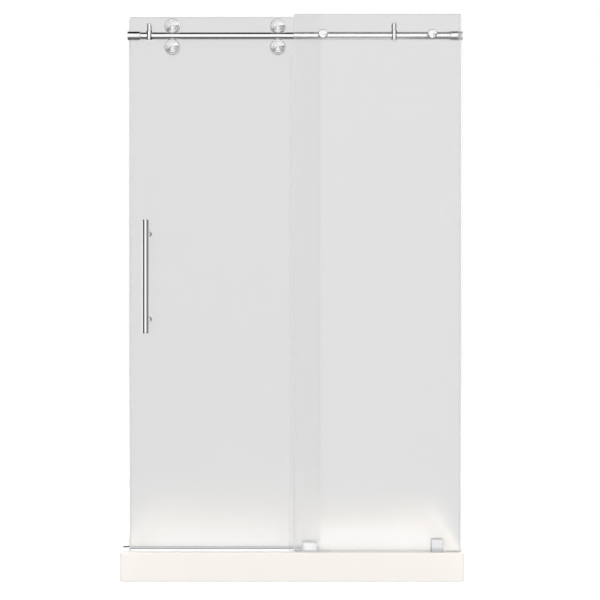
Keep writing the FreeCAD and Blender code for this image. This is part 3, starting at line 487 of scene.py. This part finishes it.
def polished_chrome():
    """Bright chrome with a trace of wiping marks."""
    material, tree, place, shader = new_material("polished_chrome")
    smear = grain(tree, place, scale=9.0, detail=3.0, roughness=0.6)
    hair = grain(tree, place, scale=160.0, detail=3.0, roughness=0.6, stretch=(1.0, 1.0, 0.15))
    rough = blend_value(tree, calc(tree, "MULTIPLY", smear, hair), *chrome_roughness)
    normal = relief(tree, hair, wiping_relief, strength=0.5)
    set_shader(tree, shader, Base_Color=blend_colour(tree, smear, *chrome_tones), Metallic=1.0,
               Roughness=rough, Normal=normal)
    return material


def turned_steel():
    """Satin steel turned on a lathe: its brushing runs in rings round each piece's own centre.

    The tangent runs outwards from the centre, with a little of Y to keep it off the normal at the rim."""
    material, tree, place, shader = new_material("turned_steel")
    centre = add(tree, "ShaderNodeAttribute", attribute_name="turning_centre").outputs["Vector"]
    spoke = vector_calc(tree, "SUBTRACT", place, centre)
    spoke = vector_calc(tree, "MULTIPLY", spoke, (1.0, 0.0, 1.0))
    radius = vector_calc(tree, "LENGTH", spoke, out="Value")
    across = add(tree, "ShaderNodeVectorTransform", {"Vector": spoke}, vector_type="VECTOR",
                 convert_from="OBJECT", convert_to="WORLD").outputs[0]
    across = vector_calc(tree, "ADD", vector_calc(tree, "NORMALIZE", across), (0.0, 0.3, 0.0))
    rings = add(tree, "ShaderNodeTexNoise", {"W": calc(tree, "MULTIPLY", radius, turned_lines), "Scale": 1.0,
                                             "Detail": 2.0}, noise_dimensions="1D").outputs["Fac"]
    patch = grain(tree, place, scale=60.0)
    rough = calc(tree, "ADD", blend_value(tree, rings, *turned_roughness),
                 calc(tree, "MULTIPLY", patch, patch_roughness))
    normal = relief(tree, rings, turned_relief, strength=0.7)
    set_shader(tree, shader, Base_Color=blend_colour(tree, rings, *turned_tones), Metallic=1.0,
               Roughness=rough, Anisotropic=1.0, Tangent=across, Normal=normal)
    return material


def brushed_steel(name, tone, along, least_rough):
    """Satin steel with fine lines along one axis: 0 for X, 1 for Y, 2 for Z."""
    material, tree, place, shader = new_material(name)
    stretch = tuple(long_lines if axis == along else fine_lines for axis in range(3))
    lines = grain(tree, place, scale=1.0, detail=3.0, roughness=0.6, stretch=stretch)
    patch = grain(tree, place, scale=25.0)
    colour = blend_colour(tree, lines, tuple(c * line_shade for c in tone), tone)
    rough = calc(tree, "ADD", blend_value(tree, lines, least_rough, least_rough + brushed_spread),
                 calc(tree, "MULTIPLY", patch, patch_roughness))
    normal = relief(tree, lines, brushed_relief, strength=0.6)
    set_shader(tree, shader, Base_Color=colour, Metallic=1.0, Roughness=rough, Normal=normal)
    return material


def clamp_steel():
    """Brushed steel with a painted shade: its colour darkens towards the clamp's foot, a painted reflection
    of the dark floor, and it is rougher there.
    """
    material, tree, place, shader = new_material("clamp_steel")
    _, _, height = axes(tree, place)
    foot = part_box("clamp_body")[0].z
    lines = grain(tree, place, scale=1.0, detail=3.0, roughness=0.6,
                  stretch=(long_lines, fine_lines, fine_lines))
    # Painted reflection of the dark floor: the colour darkens towards the clamp's foot, and the roughness
    # rises there
    painted_shade = fade(tree, height, foot + clamp_foot_height, foot)
    colour = blend_colour(tree, painted_shade, blend_colour(tree, lines, *clamp_tones), clamp_painted_shade_tone)
    rough = calc(tree, "ADD", blend_value(tree, lines, *clamp_roughness),
                 calc(tree, "MULTIPLY", painted_shade, foot_roughness))
    normal = relief(tree, lines, brushed_relief, strength=0.6)
    set_shader(tree, shader, Base_Color=colour, Metallic=1.0, Roughness=rough, Normal=normal)
    return material


def natural_nylon():
    """Off-white moulded nylon, slightly see-through."""
    material, tree, place, shader = new_material("natural_nylon")
    cloud = grain(tree, place, scale=70.0, detail=3.0)
    fine = grain(tree, place, scale=1500.0)
    set_shader(tree, shader, Base_Color=blend_colour(tree, cloud, *nylon_tones),
               Roughness=blend_value(tree, fine, *nylon_roughness), Normal=relief(tree, fine, nylon_relief),
               Subsurface_Weight=0.1, Subsurface_Radius=(0.004, 0.004, 0.003))
    return material


def clear_plastic(name, tint, haze, body):
    """Clear vinyl or rubber with extrusion lines; body is how much of it shows."""
    material, tree, place, shader = new_material(name)
    lines = grain(tree, place, scale=1.0, stretch=extrusion_lines)
    cloud = grain(tree, place, scale=30.0)
    colour = blend_colour(tree, cloud, tuple(c * cloud_shade for c in tint), tint)
    set_shader(tree, shader, Base_Color=colour, Roughness=blend_value(tree, lines, haze, haze + haze_spread),
               Normal=relief(tree, lines, extrusion_relief), Alpha=body)
    return material


# Shapes
def place_mesh(mesh, name, material, body, replaced):
    """Make a finished mesh a piece: its material, its body and the nodes it replaces."""
    mesh.materials.clear()
    mesh.materials.append(material)
    mesh.shade_smooth()
    mesh.set_sharp_from_angle(angle=sharp_angle)
    piece = new_object(name, mesh)
    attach(piece, body)
    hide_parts(*replaced)


def rounded(corners):
    """Outline points from (radius, along, reach) corners.

    Each corner becomes a small arc that reaches so far along both its sides; zero keeps it sharp."""
    points = [Vector(corner[:2]) for corner in corners]
    made = []
    for place, here in enumerate(points):
        reach = corners[place][2]
        if reach == 0:
            made.append(tuple(here))
            continue
        start = here + (points[place - 1] - here).normalized() * reach
        end = here + (points[place + 1] - here).normalized() * reach
        for step in range(arc_steps + 1):
            share = step / arc_steps
            first = start.lerp(here, share)
            second = here.lerp(end, share)
            made.append(tuple(first.lerp(second, share)))
    return made


def turned_tube(name, outline, centre, axis, material, body, node, closed=False):
    """A chrome piece turned from (radius, along) points about an axis through centre.

    closed joins the last point to the first, for a tube that is open at both ends."""
    along_axis = "XYZ".index(axis)
    first_axis, second_axis = (along_axis + 1) % 3, (along_axis + 2) % 3
    bm = bmesh.new()
    rings = []
    for radius, along in outline:
        ring = []
        for step in range(around_tube if radius > on_axis else 1):
            turn = math.tau * step / around_tube
            point = [0.0, 0.0, 0.0]
            point[along_axis] = along
            point[first_axis] = centre[first_axis] + radius * math.cos(turn)
            point[second_axis] = centre[second_axis] + radius * math.sin(turn)
            ring.append(bm.verts.new(point))
        rings.append(ring)
    pairs = list(zip(rings, rings[1:]))
    if closed:
        pairs.append((rings[-1], rings[0]))
    for first, second in pairs:
        for step in range(around_tube):
            following = (step + 1) % around_tube
            corners = [first[step % len(first)], first[following % len(first)],
                       second[following % len(second)], second[step % len(second)]]
            unique = list(dict.fromkeys(corners))
            if len(unique) > 2:
                bm.faces.new(unique)
    bmesh.ops.remove_doubles(bm, verts=bm.verts, dist=same_place)
    bmesh.ops.recalc_face_normals(bm, faces=bm.faces)
    mesh = bpy.data.meshes.new(name)
    bm.to_mesh(mesh)
    bm.free()
    place_mesh(mesh, name, material, body, [node])


def guide_tube(chrome):
    """The rail: a tube with softened ends."""
    low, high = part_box("guide_rail")
    radius = (high.z - low.z) / 2
    bore = radius - rail_wall
    soft = rail_round
    outline = [(bore, low.x + soft), (bore + soft, low.x), (radius - soft, low.x), (radius, low.x + soft),
               (radius, high.x - soft), (radius - soft, high.x), (bore + soft, high.x), (bore, high.x - soft)]
    turned_tube("guide_tube", outline, (low + high) / 2, "X", chrome, "enclosure", "guide_rail", closed=True)


def handle_tube(chrome):
    """The handle's bar with a small round along each end's rim.

    A ring of points next to each round keeps its side straight."""
    low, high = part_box("handle_bar")
    radius = (high.x - low.x) / 2
    outline = rounded([(0.0, low.z, 0.0), (radius, low.z, handle_round), (radius, low.z + handle_ring, 0.0),
                       (radius, high.z - handle_ring, 0.0), (radius, high.z, handle_round),
                       (0.0, high.z, 0.0)])
    turned_tube("handle_tube", outline, (low + high) / 2, "Z", chrome, "sliding_door", "handle_bar")


def turning_tree(material):
    """A Geometry Nodes tree that turns an outline about Y at each of several places."""
    tree = bpy.data.node_groups.new("turned_faces", "GeometryNodeTree")
    face = tree.interface
    face.new_socket("Places", in_out="INPUT", socket_type="NodeSocketGeometry")
    face.new_socket("Outline", in_out="INPUT", socket_type="NodeSocketObject")
    face.new_socket("Around", in_out="INPUT", socket_type="NodeSocketInt")
    face.new_socket("Faces", in_out="OUTPUT", socket_type="NodeSocketGeometry")
    given = add(tree, "NodeGroupInput").outputs
    result = add(tree, "NodeGroupOutput")
    position = add(tree, "GeometryNodeInputPosition").outputs[0]

    # A grid with one row for each outline point and one column for each step round
    outline = add(tree, "GeometryNodeObjectInfo", {"Object": given["Outline"]}).outputs["Geometry"]
    count = add(tree, "GeometryNodeAttributeDomainSize", {"Geometry": outline}).outputs["Point Count"]
    grid = add(tree, "GeometryNodeMeshGrid", {"Vertices X": calc(tree, "ADD", given["Around"], 1.0),
                                              "Vertices Y": count}).outputs["Mesh"]
    index = add(tree, "GeometryNodeInputIndex").outputs[0]
    column = calc(tree, "FLOOR", calc(tree, "DIVIDE", calc(tree, "ADD", index, 0.5), count))
    before = calc(tree, "MULTIPLY", column, count)
    row = calc(tree, "FLOOR", calc(tree, "ADD", calc(tree, "SUBTRACT", index, before), 0.5))

    # Each grid point goes to its outline point, turned by its column
    sample = add(tree, "GeometryNodeSampleIndex", {"Geometry": outline, "Value": position, "Index": row},
                 data_type="FLOAT_VECTOR").outputs[0]
    radius, along, _ = axes(tree, sample)
    turn = calc(tree, "MULTIPLY", calc(tree, "DIVIDE", column, given["Around"]), math.tau)
    turned = add(tree, "ShaderNodeCombineXYZ", {
        "X": calc(tree, "MULTIPLY", radius, calc(tree, "COSINE", turn)), "Y": along,
        "Z": calc(tree, "MULTIPLY", radius, calc(tree, "SINE", turn))}).outputs[0]
    placed = add(tree, "GeometryNodeSetPosition", {"Geometry": grid, "Position": turned}).outputs[0]
    merged = add(tree, "GeometryNodeMergeByDistance", {"Geometry": placed, "Distance": same_place}).outputs[0]

    # One copy at each place, which keeps that place as its turning centre
    copies = add(tree, "GeometryNodeInstanceOnPoints", {"Points": given["Places"], "Instance": merged})
    stored = add(tree, "GeometryNodeStoreNamedAttribute",
                 {"Name": "turning_centre", "Geometry": copies.outputs[0], "Value": position},
                 data_type="FLOAT_VECTOR", domain="INSTANCE").outputs[0]
    real = add(tree, "GeometryNodeRealizeInstances", {0: stored}).outputs[0]
    painted = add(tree, "GeometryNodeSetMaterial", {"Geometry": real, "Material": material}).outputs[0]
    feed(tree, result.inputs[0], painted)
    return tree


def points_object(name, points):
    """Loose points for the turning tree to read."""
    mesh = bpy.data.meshes.new(name)
    mesh.from_pydata(points, [], [])
    return new_object(name, mesh)


def turned_faces(name, tree, material, places, outline, body, replaced):
    """A steel piece turned from an outline of (radius, along) points, with a copy at each place."""
    outline_object = points_object(name + "_outline", [(radius, along, 0.0) for radius, along in outline])
    places_object = points_object(name + "_places", places)
    modifier = places_object.modifiers.new("turned", "NODES")
    modifier.node_group = tree
    sockets = {s.name: s.identifier for s in tree.interface.items_tree
               if s.item_type == "SOCKET" and s.in_out == "INPUT"}
    modifier[sockets["Outline"]] = outline_object
    modifier[sockets["Around"]] = around_face
    evaluated = places_object.evaluated_get(bpy.context.evaluated_depsgraph_get())
    mesh = bpy.data.meshes.new_from_object(evaluated)
    mesh.name = name
    places_object.modifiers.remove(modifier)
    for used in (places_object, outline_object):
        bpy.data.objects.remove(used)
    bm = bmesh.new()
    bm.from_mesh(mesh)
    bmesh.ops.recalc_face_normals(bm, faces=bm.faces)
    bm.to_mesh(mesh)
    bm.free()
    place_mesh(mesh, name, material, body, [replaced])


def grooved(start, end, along, lean):
    """Points of fine turning marks between two radii, without the two ends: each mark leans outward."""
    count = max(1, round((end - start) / groove_pitch))
    pitch = (end - start) / count
    depth = (pitch - groove_flank) * math.tan(lean)
    made = []
    for mark in range(count):
        radius = start + mark * pitch
        made += [(radius, along), (radius + pitch - groove_flank, along + depth)]
    return made[1:]


def wheel_faces(tree, steel):
    """The four wheels' front plates: a turned disc with a raised middle."""
    bodies = {"upper_left": "roller_left", "upper_right": "roller_right",
              "lower_left": "antilift_left", "lower_right": "antilift_right"}
    for spot, body in bodies.items():
        low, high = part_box("wheel_cover_" + spot)
        centre = (low + high) / 2
        rim = (high.x - low.x) / 2
        thick = high.y - low.y
        dimple = rounded([(0.0, dimple_depth, 0.0), (dimple_floor, dimple_depth, 0.12 * mm),
                          (dimple_radius, 0.0, 0.12 * mm), (marks_radius, 0.0, 0.0)])
        seam = rounded([(middle_radius - middle_lip, 0.0, 0.0), (middle_radius, 0.0, 0.45 * mm),
                        (middle_radius, plate_depth, 0.12 * mm),
                        (middle_radius + seam_width / 2, plate_depth + seam_depth, 0.1 * mm),
                        (middle_radius + seam_width, plate_depth, 0.0)])
        back = rounded([(rim - rim_lip, plate_depth, 0.0), (rim - rim_slope, plate_depth, 0.2 * mm),
                        (rim, plate_depth + rim_drop, 0.3 * mm), (rim, thick, 0.3 * mm),
                        (hollow_radius, thick, 0.1 * mm), (hollow_radius, thick - hollow_depth, 0.1 * mm),
                        (0.0, thick - hollow_depth, 0.0)])
        middle_marks = grooved(marks_radius, middle_radius - middle_lip, 0.0, wheel_middle_lean)
        plate_marks = grooved(middle_radius + seam_width, rim - rim_lip, plate_depth, wheel_plate_lean)
        turned_faces("wheel_face_" + spot, tree, steel, [(centre.x, low.y, centre.z)],
                     dimple + middle_marks + seam + plate_marks + back, body, "wheel_cover_" + spot)


def connector_faces(tree, steel):
    """The two round caps on the fixed panel, each with its stud through the glass."""
    low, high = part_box("connector_caps")
    radius = (high.z - low.z) / 2
    middle = (low.z + high.z) / 2
    length = high.y - low.y
    face = radius - connector_rim
    back = rounded([(face, 0.0, 0.0), (face + connector_lip, connector_lip_drop, 0.5 * mm),
                    (radius, connector_drop, 0.6 * mm), (radius, connector_depth, 0.4 * mm),
                    (stud_radius, connector_depth, 0.0), (stud_radius, length, 0.5 * mm),
                    (0.0, length, 0.0)])
    marks = grooved(connector_centre, face, 0.0, connector_lean)
    places = [(low.x + radius, low.y, middle), (high.x - radius, low.y, middle)]
    turned_faces("connector_faces", tree, steel, places, [(0.0, 0.0), (connector_centre, 0.0)] + marks + back,
                 "enclosure", "connector_caps")


# Put together
make_camera()
make_world()
make_floor()
for name, lamp in lamps.items():
    soft_lamp(name, **lamp)

chrome = polished_chrome()
steel = turned_steel()
finishes = {
    "cast_base": cream_casting(),
    "polished_chrome": chrome,
    "satin_steel": brushed_steel("satin_steel", satin_tone, along=0, least_rough=0.11),
    "steel_fasteners": brushed_steel("fastener_steel", fastener_tone, along=2, least_rough=0.25),
    "bearing_steel": brushed_steel("bearing_steel", bearing_tone, along=1, least_rough=0.15),
    "nylon": natural_nylon(),
    "clear_vinyl": clear_plastic("clear_vinyl", vinyl_tone, haze=0.18, body=0.09),
    "clear_rubber": clear_plastic("clear_rubber", rubber_tone, haze=0.35, body=0.55),
}
own_finish = {
    "fixed_panel": frosted_glass("fixed_panel_glass", "fixed_panel", panel_frost),
    "door_panel": frosted_glass("door_glass", "door_panel", door_frost),
    "bottom_guide": chrome,
    "clamp_body": clamp_steel(),
}
for part in frame["record"]["subparts"]:
    node = frame["nodes"][part["node"]]
    finish = own_finish.get(part["node"]) or finishes[part["material_slot"]]
    for slot in node.material_slots:
        slot.material = finish

guide_tube(chrome)
handle_tube(chrome)
faces = turning_tree(steel)
wheel_faces(faces, steel)
connector_faces(faces, steel)

bpy.context.scene.view_settings.view_transform = "Standard"
